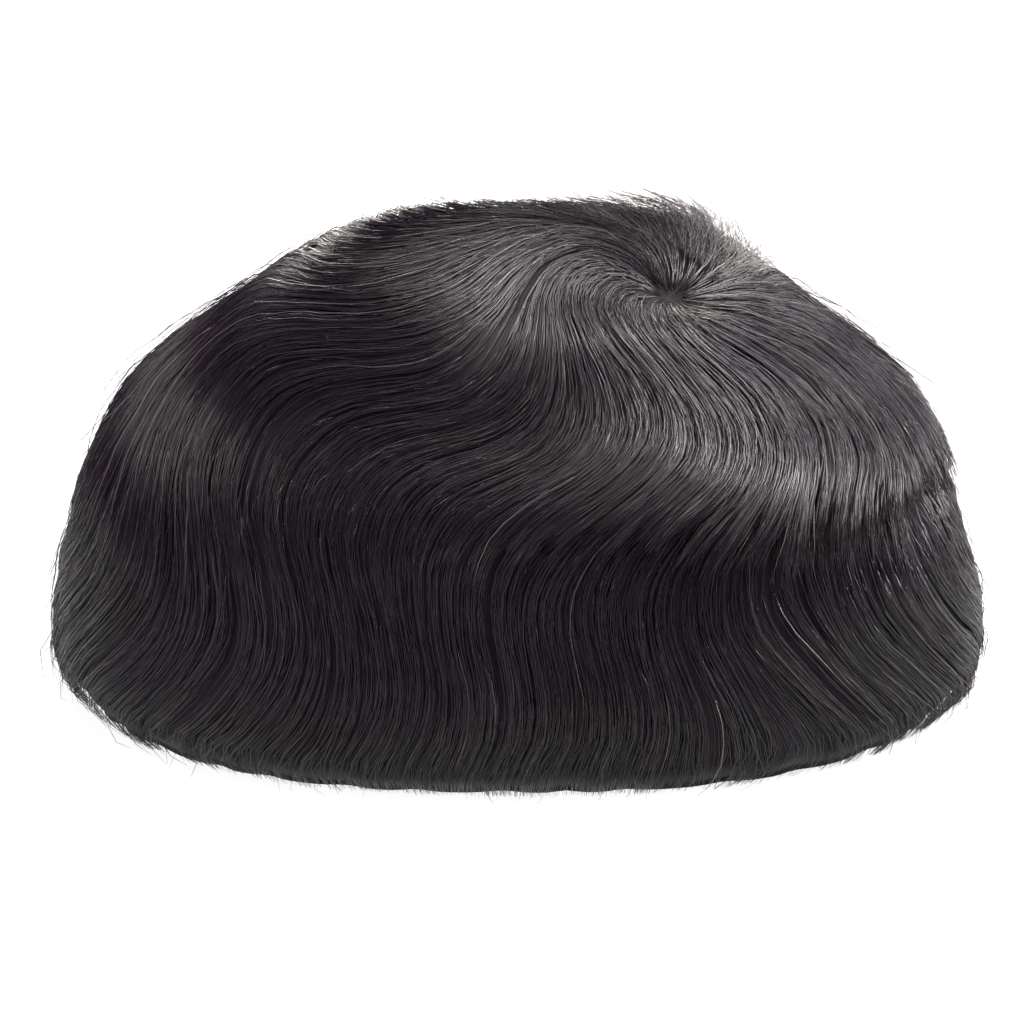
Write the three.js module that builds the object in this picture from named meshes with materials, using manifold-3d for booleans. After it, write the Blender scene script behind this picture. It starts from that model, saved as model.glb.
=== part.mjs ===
// A men's toupee as it lies on a table: a thin dome-shaped base, and the hair knotted into it.
// The hair springs from a whorl at the crown, lies over the base in locks and ends in a ledge of
// tips. From under that ledge it hangs to the table in four curtains: front, left, back and right.
// Millimetres, +Z up. The wearer faces -Y, so +X is the wearer's left. The origin is on the table,
// under the middle of the hair.

import * as THREE from "three";
import { mergeVertices } from "three/addons/utils/BufferGeometryUtils.js";
import Module from "manifold-3d";

// Outside of the hair, before its waves and locks
const HAIR_LENGTH = 245; // front to back, at the widest level
const HAIR_WIDTH = 186; // side to side, at the widest level
const HAIR_HEIGHT = 119; // table to the top
const WIDEST_LEVEL = 8.5; // height of the fullest outline above the table
const PLAN_ROUNDNESS = 2.4; // of the outline seen from above: 2 is an ellipse, and more is boxier
const PROFILE_ROUNDNESS = 1.96; // the same for the outlines seen from the front and the side
const TUCK = 5; // how far the tips curl in between the widest level and the table
const TIP_THICKNESS = 13; // thickness of a curtain where it meets the table

// Whorl, measured from the middle of the hair
const WHORL_BACK = 41;
const WHORL_LEFT = 18;
const WHORL_DIP = 4.5; // the hair parts there and lies lower
const WHORL_RADIUS = 12;
const TUFT_RISE = 4; // the short tuft that stands up on the far side of the whorl
const TUFT_REACH = 30; // its distance from the whorl
const TUFT_RADIUS = 15;

// Ledge of tips where the crown hair ends
const LEDGE_LEVEL = 67; // at the sides
const LEDGE_SAG = 11; // the ledge is this much lower at the front and the back
const LEDGE_THICKNESS = 6.5; // crown hair over the curtains
const LEDGE_EDGE = 3.5; // what is left of that at the very tips
const LEDGE_LAP = 8; // height by which the crown hair covers the curtains
const LEDGE_NOTCH = 5; // the hair between two locks ends this much higher

// Locks and waves. The waves are in step with the ledge, so they are counted from there.
const LOCK_RELIEF = 3; // depth of the valley between two locks
const TABLE_RELIEF = 5; // the same at the tips on the table
const LOCK_LIFT = 0.9; // some locks lie this much higher or lower than others
const WAVE_LENGTH = 70; // along a lock, between two bends of the same hand
const WAVE_SWAY = 8; // how far a lock sways to either side
const WAVE_CALM = 0.5; // the sway is smaller by this share at the back
const WAVE_TURN = 15; // the sway turns back this far below the ledge
const WAVE_SWELL = 2.2; // how far the hair swells and sinks with the wave
const WAVE_CREST = 5; // the swell is fullest this far above the ledge

// Base, the thin cap that the hair is knotted into
const BASE_LENGTH = 192; // of its ellipsoid, at the widest level of the hair
const BASE_WIDTH = 144;
const CROWN_THICKNESS = 19; // hair over the top of the base
const BASE_TOP = HAIR_HEIGHT - CROWN_THICKNESS; // height of its outside above the table
const BASE_RIM_LEVEL = 34; // height of its rim above the table
const BASE_WALL = 1.2;

const CLEARANCE = 0.3; // between neighbouring pieces
const LAP_CLEARANCE = 0.5; // between the crown hair and the curtains that it covers
const DOME_COLUMNS = 48; // of the base
const DOME_ROWS = 6;

// Sections round the head. Angles are in degrees, from the wearer's left towards the back.
const SECTIONS = [
  { name: "left_side_hair", from: -52, to: 52, locks: 11 },
  { name: "back_hair", from: 52, to: 128, locks: 9 },
  { name: "right_side_hair", from: 128, to: 232, locks: 11 },
  { name: "front_hair", from: 232, to: 308, locks: 9 },
];

// How deep the samples across one lock lie, as shares of the valley's depth.
const LOCK_SAMPLES = [1, 0.28, 0, 0.28];

// Rows of the crown hair, as shares of the way from the whorl to its tips.
const CROWN_ROWS = [0.06, 0.13, 0.22, 0.32, 0.42, 0.52, 0.62, 0.72, 0.82, 0.91];

// Rows of a curtain's outside. Down is a share of the way from the ledge's tips to the widest level,
// and sunk is a share of the ledge's thickness: a hollow under the ledge, and then a swell.
const CURTAIN_ROWS = [
  { down: 0.1, sunk: 0.64 },
  { down: 0.28, sunk: 0.25 },
  { down: 0.52, sunk: 0.03 },
  { down: 0.78, sunk: 0 },
  { down: 1, sunk: 0 },
];

const HAIR = { color: 0x1b181c, roughness: 0.45, metalness: 0 };
const NET = { color: 0x2a2422, roughness: 0.8, metalness: 0 };

const half = { x: HAIR_WIDTH / 2, y: HAIR_LENGTH / 2, z: HAIR_HEIGHT - WIDEST_LEVEL };
const baseHalf = { x: BASE_WIDTH / 2, y: BASE_LENGTH / 2, z: BASE_TOP - WIDEST_LEVEL };
const centre = new THREE.Vector3(0, 0, WIDEST_LEVEL);
const meanRadius = (half.x + half.y + half.z) / 3;
const waveTurn = (2 * Math.PI) / WAVE_LENGTH;

const wasm = await Module();
wasm.setup();

// The whorl on the unit sphere that the dome is stretched from.
const whorl = new THREE.Vector3(WHORL_LEFT / half.x, WHORL_BACK / half.y, 0);
whorl.z = Math.sqrt(1 - whorl.lengthSq());

function bump(distance, radius) {
  return Math.exp(-((distance / radius) ** 2));
}

// The angle at the centre between the whorl and the widest level.
function turnTo(angle) {
  return Math.acos(whorl.x * Math.cos(angle) + whorl.y * Math.sin(angle));
}

// Distance along the hair. share is 0 at the whorl and 1 at the widest level.
function distanceAlong(angle, share) {
  return turnTo(angle) * share * meanRadius;
}

// A point of the smooth dome, from its centre. It lies on the great circle from the whorl to the
// widest level, on a unit sphere that is then stretched.
function domePoint(angle, share) {
  const turn = turnTo(angle);
  const s = new THREE.Vector3(Math.cos(angle), Math.sin(angle), 0)
    .multiplyScalar(Math.sin(share * turn) / Math.sin(turn))
    .addScaledVector(whorl, Math.sin((1 - share) * turn) / Math.sin(turn));
  const plan = Math.abs(s.x) ** PLAN_ROUNDNESS + Math.abs(s.y) ** PLAN_ROUNDNESS;
  const flat = plan ** (PROFILE_ROUNDNESS / PLAN_ROUNDNESS);
  const size = (flat + Math.abs(s.z) ** PROFILE_ROUNDNESS) ** (1 / PROFILE_ROUNDNESS);
  return new THREE.Vector3(s.x * half.x, s.y * half.y, s.z * half.z).divideScalar(size);
}

// The share at which the smooth dome passes a level, found by halving.
function shareAt(angle, level) {
  let high = 0;
  let low = 1;
  for (let i = 0; i < 30; i++) {
    const middle = (low + high) / 2;
    if (domePoint(angle, middle).z + WIDEST_LEVEL > level) high = middle;
    else low = middle;
  }
  return low;
}

function ledgeLevel(angle) {
  return LEDGE_LEVEL - LEDGE_SAG * Math.sin(angle) ** 2;
}

// Where in the wave a point is, as a distance below the ledge.
function belowLedge(angle, share) {
  return distanceAlong(angle, share - shareAt(angle, ledgeLevel(angle)));
}

// The angle at which a lock stands after swaying with the wave, which is gentler at the back.
function swayed(angle, share) {
  const gentle = 1 - WAVE_CALM * Math.max(0, Math.sin(angle));
  const wave = Math.cos(waveTurn * (belowLedge(angle, share) - WAVE_TURN));
  const girth = Math.sin(turnTo(angle) * share) * meanRadius;
  return angle - (WAVE_SWAY * gentle * wave) / Math.max(girth, meanRadius / 3);
}

// Swells, dip and tuft of the hair's outside, against the smooth dome.
function relief(angle, share, place) {
  const wave = Math.cos(waveTurn * (belowLedge(angle, share) + WAVE_CREST));
  const swell = WAVE_SWELL * wave * Math.min(1, distanceAlong(angle, share) / WAVE_LENGTH);
  const fromWhorl = Math.hypot(place.x - WHORL_LEFT, place.y - WHORL_BACK);
  const fromTuft = Math.hypot(place.x - WHORL_LEFT + TUFT_REACH, place.y - WHORL_BACK);
  const tuft = place.z > 0 ? TUFT_RISE * bump(fromTuft, TUFT_RADIUS) : 0;
  return swell * (1 - share ** 4) - WHORL_DIP * bump(fromWhorl, WHORL_RADIUS) + tuft;
}

// A point of the dome's hair, sunk by depth, on the line of hair that starts out at angle.
function hairPoint(angle, share, depth) {
  const stands = swayed(angle, share);
  const place = domePoint(stands, share);
  const out = relief(stands, share, place) - depth;
  return place.setLength(place.length() + out).add(centre);
}

// A point of the tips below the widest level, which curl in towards the table. drop is 0 at the
// widest level and 1 on the table.
function skirtPoint(angle, drop, depth) {
  const edge = hairPoint(angle, 1, 0);
  const flat = new THREE.Vector3(edge.x, edge.y, 0);
  flat.setLength(flat.length() - TUCK * (1 - Math.cos((drop * Math.PI) / 2)) - depth);
  flat.z = WIDEST_LEVEL * (1 - drop);
  return flat;
}

// The columns of a section: an angle across its locks, how deep in a valley it lies, and how high
// its lock stands. The column that closes the section is a valley too.
function columnsOf(section, firstLock) {
  const count = section.locks * LOCK_SAMPLES.length;
  return Array.from({ length: count + 1 }, (_, i) => {
    const lock = firstLock + Math.floor(i / LOCK_SAMPLES.length);
    const valley = LOCK_SAMPLES[i % LOCK_SAMPLES.length];
    return {
      angle: THREE.MathUtils.degToRad(THREE.MathUtils.lerp(section.from, section.to, i / count)),
      valley,
      lift: LOCK_LIFT * Math.sin(lock * lock) * (1 - valley),
    };
  });
}

function ledgeShare(column) {
  return shareAt(column.angle, ledgeLevel(column.angle) + LEDGE_NOTCH * column.valley);
}

function lapShare(column) {
  return shareAt(column.angle, ledgeLevel(column.angle) + LEDGE_NOTCH + LEDGE_LAP);
}

// Locks are narrow near the whorl, and so are the valleys between them.
function lockDepth(column, share) {
  return LOCK_RELIEF * column.valley * Math.sin(share * turnTo(column.angle)) - column.lift * share;
}

// A point well inside the hollow, where a piece is closed before its inside is cut away.
function corePoint(point) {
  return point.clone().lerp(centre, 0.5);
}

// Crown hair, from the whorl down to the ledge's tips, back under them and in towards the base.
function crownRows(column) {
  const tip = ledgeShare(column);
  const lap = lapShare(column);
  const outside = CROWN_ROWS.map((row) =>
    hairPoint(column.angle, row * tip, lockDepth(column, row * tip)),
  );
  const tipDepth = LEDGE_THICKNESS - LEDGE_EDGE * (1 - column.valley / 2);
  const under = hairPoint(column.angle, lap, LEDGE_THICKNESS);
  return [
    hairPoint(column.angle, 0, 0),
    ...outside,
    hairPoint(column.angle, tip, tipDepth),
    hairPoint(column.angle, tip, LEDGE_THICKNESS),
    under,
    corePoint(under),
    corePoint(hairPoint(column.angle, 0, 0)),
  ];
}

// A curtain, from under the ledge down its outside to the table, and in.
function curtainRows(column) {
  const tip = ledgeShare(column);
  const lap = lapShare(column) + LAP_CLEARANCE / distanceAlong(column.angle, 1);
  const deepest = LEDGE_THICKNESS + LAP_CLEARANCE;
  const top = hairPoint(column.angle, lap, deepest);
  const outside = CURTAIN_ROWS.map((row) => {
    const share = THREE.MathUtils.lerp(tip, 1, row.down);
    return hairPoint(column.angle, share, row.sunk * deepest + lockDepth(column, share));
  });
  const curl = skirtPoint(column.angle, 0.5, column.valley * (LOCK_RELIEF + TABLE_RELIEF) / 2);
  const foot = skirtPoint(column.angle, 1, column.valley * TABLE_RELIEF);
  const inner = foot.clone().multiplyScalar(0.5);
  const under = hairPoint(column.angle, tip, deepest);
  return [top, under, ...outside, curl, foot, inner, corePoint(top)];
}

// The inside of the base or of the hair, as a dome grown by extra from the base's outside.
function domeRows(angle, extra) {
  const sine = (BASE_RIM_LEVEL - WIDEST_LEVEL) / (baseHalf.z + extra);
  const lowest = Math.asin(sine);
  return Array.from({ length: DOME_ROWS + 1 }, (_, i) => {
    const tilt = THREE.MathUtils.lerp(Math.PI / 2, lowest, i / DOME_ROWS);
    const level = new THREE.Vector3(Math.cos(angle), Math.sin(angle), 0);
    return new THREE.Vector3(
      (baseHalf.x + extra) * Math.cos(tilt) * level.x,
      (baseHalf.y + extra) * Math.cos(tilt) * level.y,
      (baseHalf.z + extra) * Math.sin(tilt),
    ).add(centre);
  });
}

function baseRows(angle) {
  return [...domeRows(angle, 0), ...domeRows(angle, -BASE_WALL).reverse()];
}

// All that the hair leaves free: the base with its clearance, and the hollow under it, which widens
// down to the table.
function insideRows(angle) {
  const foot = skirtPoint(angle, 1, TIP_THICKNESS);
  const below = foot.clone().setZ(-CLEARANCE);
  const axis = new THREE.Vector3(0, 0, -CLEARANCE);
  return [...domeRows(angle, CLEARANCE), foot, below, axis];
}

// A closed surface through columns of points. Round a whole turn, each column runs from one pole to
// the other. In a section each column is a closed loop, and its two ends are filled by fans.
function closedSurface(columns, wholeTurn) {
  const rows = columns[0].length;
  const points = [];
  const face = (a, b, c) => {
    const flat = a.distanceTo(b) < 1e-6 || b.distanceTo(c) < 1e-6 || c.distanceTo(a) < 1e-6;
    if (!flat) points.push(a, b, c);
  };
  // Both faces of the lap are split the same way: on a lock's first half from the lower point here
  // to the upper point next to it, and on its second half the other way.
  const quad = (a, b, c, d, firstHalf) => {
    if (a.z > b.z === firstHalf) {
      face(b, c, d);
      face(b, d, a);
    } else {
      face(a, b, c);
      face(a, c, d);
    }
  };
  const lastColumn = columns.length - (wholeTurn ? 0 : 1);
  for (let i = 0; i < lastColumn; i++) {
    const here = columns[i];
    const next = columns[(i + 1) % columns.length];
    const firstHalf = i % LOCK_SAMPLES.length < LOCK_SAMPLES.length / 2;
    for (let j = 0; j < rows - (wholeTurn ? 1 : 0); j++) {
      const k = (j + 1) % rows;
      quad(here[j], here[k], next[k], next[j], firstHalf);
    }
  }
  if (!wholeTurn) {
    const first = columns[0];
    const last = columns[columns.length - 1];
    for (let j = 0; j < rows - 2; j++) {
      face(first[rows - 1], first[j + 1], first[j]);
      face(last[rows - 1], last[j], last[j + 1]);
    }
  }
  return new THREE.BufferGeometry().setFromPoints(points);
}

function solidOf(geometry) {
  const merged = mergeVertices(geometry, 1e-4);
  return new wasm.Manifold(
    new wasm.Mesh({
      numProp: 3,
      vertProperties: merged.attributes.position.array,
      triVerts: new Uint32Array(merged.index.array),
    }),
  );
}

function geometryOf(solid) {
  const mesh = solid.getMesh();
  const geometry = new THREE.BufferGeometry();
  geometry.setAttribute("position", new THREE.BufferAttribute(mesh.vertProperties, mesh.numProp));
  geometry.setIndex(new THREE.BufferAttribute(mesh.triVerts, 1));
  return geometry;
}

function piece(name, geometry, finish) {
  geometry.computeVertexNormals();
  const mesh = new THREE.Mesh(geometry, new THREE.MeshStandardMaterial(finish));
  mesh.name = name;
  return mesh;
}

function roundTheBase(rowsAt) {
  const angles = Array.from({ length: DOME_COLUMNS }, (_, i) => (2 * Math.PI * i) / DOME_COLUMNS);
  return closedSurface(angles.map(rowsAt), true);
}

// Moves a section's first and last columns apart from its neighbours'.
function narrowed(columns) {
  const inset = (0.75 * CLEARANCE) / Math.min(baseHalf.x, baseHalf.y);
  const last = columns.length - 1;
  return columns.map((column, i) => {
    const shift = i === 0 ? inset : i === last ? -inset : 0;
    return { ...column, angle: column.angle + shift };
  });
}

function makeToupee() {
  const toupee = new THREE.Group();
  const inside = solidOf(roundTheBase(insideRows));
  toupee.add(piece("base_cap", roundTheBase(baseRows), NET));
  let firstLock = 0;
  const crown = [];
  for (const section of SECTIONS) {
    const columns = columnsOf(section, firstLock);
    firstLock += section.locks;
    crown.push(...columns.slice(0, -1).map(crownRows));
    const curtain = solidOf(closedSurface(narrowed(columns).map(curtainRows), false));
    toupee.add(piece(section.name, geometryOf(curtain.subtract(inside)), HAIR));
  }
  const cap = solidOf(closedSurface(crown, true)).subtract(inside);
  toupee.add(piece("crown_hair", geometryOf(cap), HAIR));
  return toupee;
}

export default makeToupee();
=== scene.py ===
# %% [markdown]
# # A toupee on a pale table
#
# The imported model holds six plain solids: a thin base, the hair of the crown down to a ledge of
# tips, and four curtains of hair from under that ledge to the table. Here each solid gets the
# looks of real hair. A smooth, finely grained body stands for the mass of hair, and thousands of
# single strands lie over it. Every length is in metres, and +Z is up.

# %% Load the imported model
import math

import bmesh
import bpy
import numpy as np
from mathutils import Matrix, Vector


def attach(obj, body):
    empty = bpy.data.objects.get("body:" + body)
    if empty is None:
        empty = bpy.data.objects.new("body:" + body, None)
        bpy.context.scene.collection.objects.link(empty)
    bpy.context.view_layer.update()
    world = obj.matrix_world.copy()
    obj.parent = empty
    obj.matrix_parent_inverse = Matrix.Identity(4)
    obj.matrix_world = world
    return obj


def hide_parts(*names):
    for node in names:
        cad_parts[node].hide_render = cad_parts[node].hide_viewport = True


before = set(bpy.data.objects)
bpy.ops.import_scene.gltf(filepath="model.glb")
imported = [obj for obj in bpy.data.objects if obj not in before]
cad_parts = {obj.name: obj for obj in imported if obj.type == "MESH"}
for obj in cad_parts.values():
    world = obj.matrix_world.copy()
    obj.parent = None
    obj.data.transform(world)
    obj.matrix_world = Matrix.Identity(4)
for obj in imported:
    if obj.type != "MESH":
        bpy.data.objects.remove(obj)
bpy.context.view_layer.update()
print("pieces of the packed model:", sorted(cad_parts))

# %% [markdown]
# ## Sizes
#
# The strands have to lie on the solids, so the sizes here are those that the solids were made
# from. Only the locks are shallower, because strands fill the valleys between them.

# %% Sizes of the hairpiece
HAIR_LENGTH = 0.245
HAIR_WIDTH = 0.186
HAIR_HEIGHT = 0.119
WIDEST_LEVEL = 0.0085
PLAN_ROUNDNESS = 2.4
PROFILE_ROUNDNESS = 1.96
TUCK = 0.005
TIP_THICKNESS = 0.013
WHORL_BACK = 0.041
WHORL_LEFT = 0.018
WHORL_DIP = 0.0045
WHORL_RADIUS = 0.012
TUFT_RISE = 0.004
TUFT_REACH = 0.030
TUFT_RADIUS = 0.015
LEDGE_LEVEL = 0.067
LEDGE_SAG = 0.011
LEDGE_THICKNESS = 0.0065
LEDGE_EDGE = 0.0035
LEDGE_LAP = 0.008
LEDGE_NOTCH = 0.005
LOCK_RELIEF = 0.0007
TABLE_RELIEF = 0.0012
LOCK_LIFT = 0.0004
WAVE_LENGTH = 0.070
WAVE_SWAY = 0.008
WAVE_CALM = 0.5
WAVE_TURN = 0.015
WAVE_SWELL = 0.0022
WAVE_CREST = 0.005
BASE_LENGTH = 0.192
BASE_WIDTH = 0.144
BASE_TOP = 0.100
BASE_RIM_LEVEL = 0.034
BASE_WALL = 0.0012
CLEARANCE = 0.0003

# Degrees round the head at which the four sections meet, and the locks counted up to there.
SECTION_ANGLES = (-52, 52, 128, 232, 308)
SECTION_LOCKS = (0, 11, 20, 31, 40)
SECTION_NAMES = ("left_side_hair", "back_hair", "right_side_hair", "front_hair")
LOCKS = SECTION_LOCKS[-1]

HALF = np.array([HAIR_WIDTH / 2, HAIR_LENGTH / 2, HAIR_HEIGHT - WIDEST_LEVEL])
BASE_HALF = np.array([BASE_WIDTH / 2, BASE_LENGTH / 2, BASE_TOP - WIDEST_LEVEL])
CENTRE = np.array([0, 0, WIDEST_LEVEL])
MEAN_RADIUS = HALF.mean()
WAVE_RATE = 2 * math.pi / WAVE_LENGTH
WHORL = np.array([WHORL_LEFT / HALF[0], WHORL_BACK / HALF[1], 0])
WHORL[2] = math.sqrt(1 - WHORL @ WHORL)

# %% [markdown]
# ## How the hair flows
#
# Hair grows from a whorl at the crown and falls along great circles of the dome, swaying from
# side to side as it goes. One function gives a point of the hair's outside from two numbers: the
# lock it belongs to, counted round the head, and how far it is from the whorl. All that follows
# asks that function, so the body, the strands and the loose hairs agree with each other.

# %% The smooth dome
def length_of(vectors):
    return np.linalg.norm(vectors, axis=-1, keepdims=True)


def unit(vectors):
    return vectors / np.maximum(length_of(vectors), 1e-12)


def turn_to(angle):
    """The angle at the centre between the whorl and the widest level."""
    return np.arccos(WHORL[0] * np.cos(angle) + WHORL[1] * np.sin(angle))


def distance_along(angle, share):
    """Distance along the hair. share is 0 at the whorl and 1 at the widest level."""
    return turn_to(angle) * share * MEAN_RADIUS


def dome_point(angle, share):
    """A point of the smooth dome, from its centre."""
    angle, share = np.broadcast_arrays(angle, share)
    turn = turn_to(angle)
    level = np.stack([np.cos(angle), np.sin(angle), np.zeros(angle.shape)], axis=-1)
    from_level = (np.sin(share * turn) / np.sin(turn))[..., None] * level
    from_whorl = (np.sin((1 - share) * turn) / np.sin(turn))[..., None] * WHORL
    place = from_level + from_whorl
    plan = (np.abs(place[..., :2]) ** PLAN_ROUNDNESS).sum(-1)
    flat = plan ** (PROFILE_ROUNDNESS / PLAN_ROUNDNESS)
    size = (flat + np.abs(place[..., 2]) ** PROFILE_ROUNDNESS) ** (1 / PROFILE_ROUNDNESS)
    return place * HALF / size[..., None]


def share_at(angle, level):
    """The share at which the smooth dome passes a level, found by halving."""
    angle, level = np.broadcast_arrays(angle, level)
    high = np.zeros(angle.shape)
    low = np.ones(angle.shape)
    for _ in range(24):
        middle = (high + low) / 2
        above = dome_point(angle, middle)[..., 2] + WIDEST_LEVEL > level
        high = np.where(above, middle, high)
        low = np.where(above, low, middle)
    return low


LEDGE_ANGLES = np.linspace(0, 2 * math.pi, 361)
LEDGE_SHARES = share_at(LEDGE_ANGLES, LEDGE_LEVEL - LEDGE_SAG * np.sin(LEDGE_ANGLES) ** 2)


def below_ledge(angle, share):
    """Distance below the ledge, which the waves are counted from."""
    ledge = np.interp(angle % (2 * math.pi), LEDGE_ANGLES, LEDGE_SHARES)
    return distance_along(angle, share - ledge)


# %% Locks and swells
def drifting(angle, *rates):
    """A number between -1 and 1 that wanders round the head and closes on itself."""
    waves = [np.sin(rate * angle + rate * rate) for rate in rates]
    return np.mean(waves, axis=0)


def swayed(angle, share):
    """The angle at which the middle of a lock stands after swaying with the wave."""
    distance = distance_along(angle, share)
    gentle = (1 - WAVE_CALM * np.maximum(0, np.sin(angle))) * np.minimum(1, distance / WAVE_LENGTH)
    wave = np.cos(WAVE_RATE * (below_ledge(angle, share) - WAVE_TURN))
    girth = np.sin(turn_to(angle) * share) * MEAN_RADIUS
    return angle - WAVE_SWAY * gentle * wave / np.maximum(girth, MEAN_RADIUS / 3)


def bump(distance, radius):
    return np.exp(-((distance / radius) ** 2))


def relief(angle, share, place):
    """Swells, dip and tuft of the hair's outside, against the smooth dome."""
    wave = np.cos(WAVE_RATE * (below_ledge(angle, share) + WAVE_CREST))
    swell = WAVE_SWELL * wave * np.minimum(1, distance_along(angle, share) / WAVE_LENGTH)
    x, y, z = np.moveaxis(place, -1, 0)
    dip = WHORL_DIP * bump(np.hypot(x - WHORL_LEFT, y - WHORL_BACK), WHORL_RADIUS)
    tuft = TUFT_RISE * bump(np.hypot(x - WHORL_LEFT + TUFT_REACH, y - WHORL_BACK), TUFT_RADIUS)
    return swell * (1 - share**4) - dip + np.where(z > 0, tuft, 0)


def angle_of(lock):
    """The angle round the head, in radians, of a place counted in locks."""
    turns = np.floor(lock / LOCKS)
    degrees = np.interp(lock - LOCKS * turns, SECTION_LOCKS, SECTION_ANGLES)
    return np.radians(degrees + 360 * turns)


def valley_at(lock):
    """1 between two locks and 0 along the middle of a lock. Locks are not all equally wide."""
    uneven = lock + 0.3 * drifting(angle_of(lock), 5, 9, 16)
    return ((1 + np.cos(2 * math.pi * uneven)) / 2) ** 1.8


def lift_at(lock):
    """Some locks lie a little higher or lower than others."""
    return LOCK_LIFT * np.sin(np.floor(lock % LOCKS) ** 2) * (1 - valley_at(lock))


def lock_depth(lock, share):
    narrow = np.sin(share * turn_to(angle_of(lock)))
    return LOCK_RELIEF * valley_at(lock) * narrow - lift_at(lock) * share


def surface_point(stands, share, depth):
    """A point of the dome's hair, sunk by depth."""
    stands, share, depth = np.broadcast_arrays(stands, share, depth)
    place = dome_point(stands, share)
    out = relief(stands, share, place) - depth
    return place + unit(place) * out[..., None] + CENTRE


def skirt_point(stands, drop, depth):
    """A point of the tips below the widest level. drop is 1 on the table."""
    stands, drop, depth = np.broadcast_arrays(stands, drop, depth)
    edge = surface_point(stands, 1.0, 0.0) * (1, 1, 0)
    inward = TUCK * (1 - np.cos(drop * math.pi / 2)) + depth
    place = edge - unit(edge) * inward[..., None]
    return place + WIDEST_LEVEL * (1 - drop)[..., None] * (0, 0, 1)


# %% The ledge, and where the curtains start under it
def ledge_share(lock):
    """Where the crown hair ends: its tips are pointed, so it ends higher between two locks."""
    angle = angle_of(lock)
    level = LEDGE_LEVEL - LEDGE_SAG * np.sin(angle) ** 2
    return share_at(angle, level + LEDGE_NOTCH * valley_at(lock))


def lap_share(lock):
    """How far the curtains reach up under the crown hair."""
    angle = angle_of(lock)
    level = LEDGE_LEVEL - LEDGE_SAG * np.sin(angle) ** 2
    return share_at(angle, level + LEDGE_NOTCH + LEDGE_LAP)


# How far down from the ledge to the widest level, and how much of the ledge's thickness the
# curtain is sunk there: a hollow under the ledge, and then a swell.
CURTAIN_DOWN = (0, 0.1, 0.28, 0.52, 0.78, 1)
CURTAIN_SUNK = (1, 0.64, 0.25, 0.03, 0, 0)
LEDGE_FACING = math.radians(80)
LEDGE_HIDDEN = 0.15


def ledge_seen(angle):
    """1 where the ledge of tips stands out, and little where strands hang over it, at the front."""
    return np.clip(0.5 + 1.3 * np.cos(angle - LEDGE_FACING), LEDGE_HIDDEN, 1)


FLARE = 0.0085  # how far the tips of the ledge stand out where they stand out most
FLARE_FACING = math.radians(38)
FLARE_START = 0.62


def flare_at(angle, part):
    """How far the crown hair stands out near the ledge. part is 1 at its tips."""
    facing = np.clip(np.cos(angle - FLARE_FACING), 0, 1) ** 3
    return FLARE * facing * np.clip((part - FLARE_START) / (1 - FLARE_START), 0, 1.2) ** 1.6


def curtain_share(lock, reach):
    """Share of a curtain's point. reach runs from -1 under the ledge over 0 at its tips and 1 at
    the widest level to 2 on the table."""
    tip = ledge_share(lock)
    return np.where(reach < 0, tip + (tip - lap_share(lock)) * reach, tip + (1 - tip) * np.clip(reach, 0, 1))


def curtain_point(stands, share, reach, ledge, depth):
    """A point of a curtain's outside: sunk by a share of the ledge, full at the widest level."""
    sunk = np.interp(np.clip(reach, 0, 1), CURTAIN_DOWN, CURTAIN_SUNK) * LEDGE_THICKNESS
    hanging = surface_point(stands, share, sunk * ledge + depth)
    foot = skirt_point(stands, np.clip(reach - 1, 0, 1), depth)
    return np.where((reach > 1)[..., None], foot, hanging)


def curtain_line(lock, reach):
    """Outside of a curtain's body."""
    lock, reach = np.broadcast_arrays(lock, reach)
    share = curtain_share(lock, reach)
    drop = np.clip(reach - 1, 0, 1)
    foot_depth = valley_at(lock) * (LOCK_RELIEF + (TABLE_RELIEF - LOCK_RELIEF) * drop)
    depth = np.where(reach > 1, foot_depth, lock_depth(lock, share))
    stands = swayed(angle_of(lock), share)
    hidden = (1 - ledge_seen(stands)) * np.clip(1.2 + 1.25 * reach, 0, 1)
    ledge = 1 - hidden
    return curtain_point(stands, share, reach, ledge, depth)


def base_point(angle, level, extra):
    """A point of the base's outside, grown by extra, at a height above the table."""
    angle, level = np.broadcast_arrays(angle, level)
    half = BASE_HALF + extra
    tilt = np.arcsin(np.clip((level - WIDEST_LEVEL) / half[2], 0, 1))
    flat = np.cos(tilt)
    place = np.stack([flat * np.cos(angle), flat * np.sin(angle), np.sin(tilt)], axis=-1)
    return place * half + CENTRE


# %% [markdown]
# ## The waves
#
# From the whorl to the table the hair slants one way and back three times. How far from the whorl
# it turns, and how steeply it slants in between, changes round the head, so a short table holds
# both. The path of a strand follows from it in small steps, from the ledge of tips up to the whorl
# and down to the table. Paths that follow one such field never cross, as with combed hair.

# %% Paths of the strands
WAVE_COLUMNS = ("degrees", "turn_1", "turn_2", "turn_3", "slant_1", "slant_2", "slant_3")
WAVES = np.array([
    (15, 0.055, 0.095, 0.134, 44, -46, 27),
    (30, 0.050, 0.089, 0.142, 44, -38, 44),
    (45, 0.043, 0.090, 0.148, 42, -52, 44),
    (60, 0.040, 0.091, 0.150, 36, -48, 46),
    (90, 0.040, 0.094, 0.150, 28, -60, 46),
    (135, 0.050, 0.092, 0.150, 22, -34, 40),
    (180, 0.058, 0.095, 0.150, 24, -32, 40),
    (225, 0.070, 0.106, 0.158, 36, -42, 50),
    (255, 0.077, 0.113, 0.165, 45, -52, 52),
    (285, 0.067, 0.100, 0.158, 45, -44, 52),
    (315, 0.065, 0.095, 0.160, 48, -40, 40),
    (345, 0.065, 0.099, 0.152, 54, -36, 32),
])
LAST_WAVE = 0.050  # length of the last slant, which the table cuts off
LAST_SLANT = -30
TURN_DRIFT = 0.0025  # the turns run ahead or behind by this much
CALM_WHORL = 0.030  # nearer to the whorl than this, the hair slants less
PATH_STEPS = 60
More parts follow.
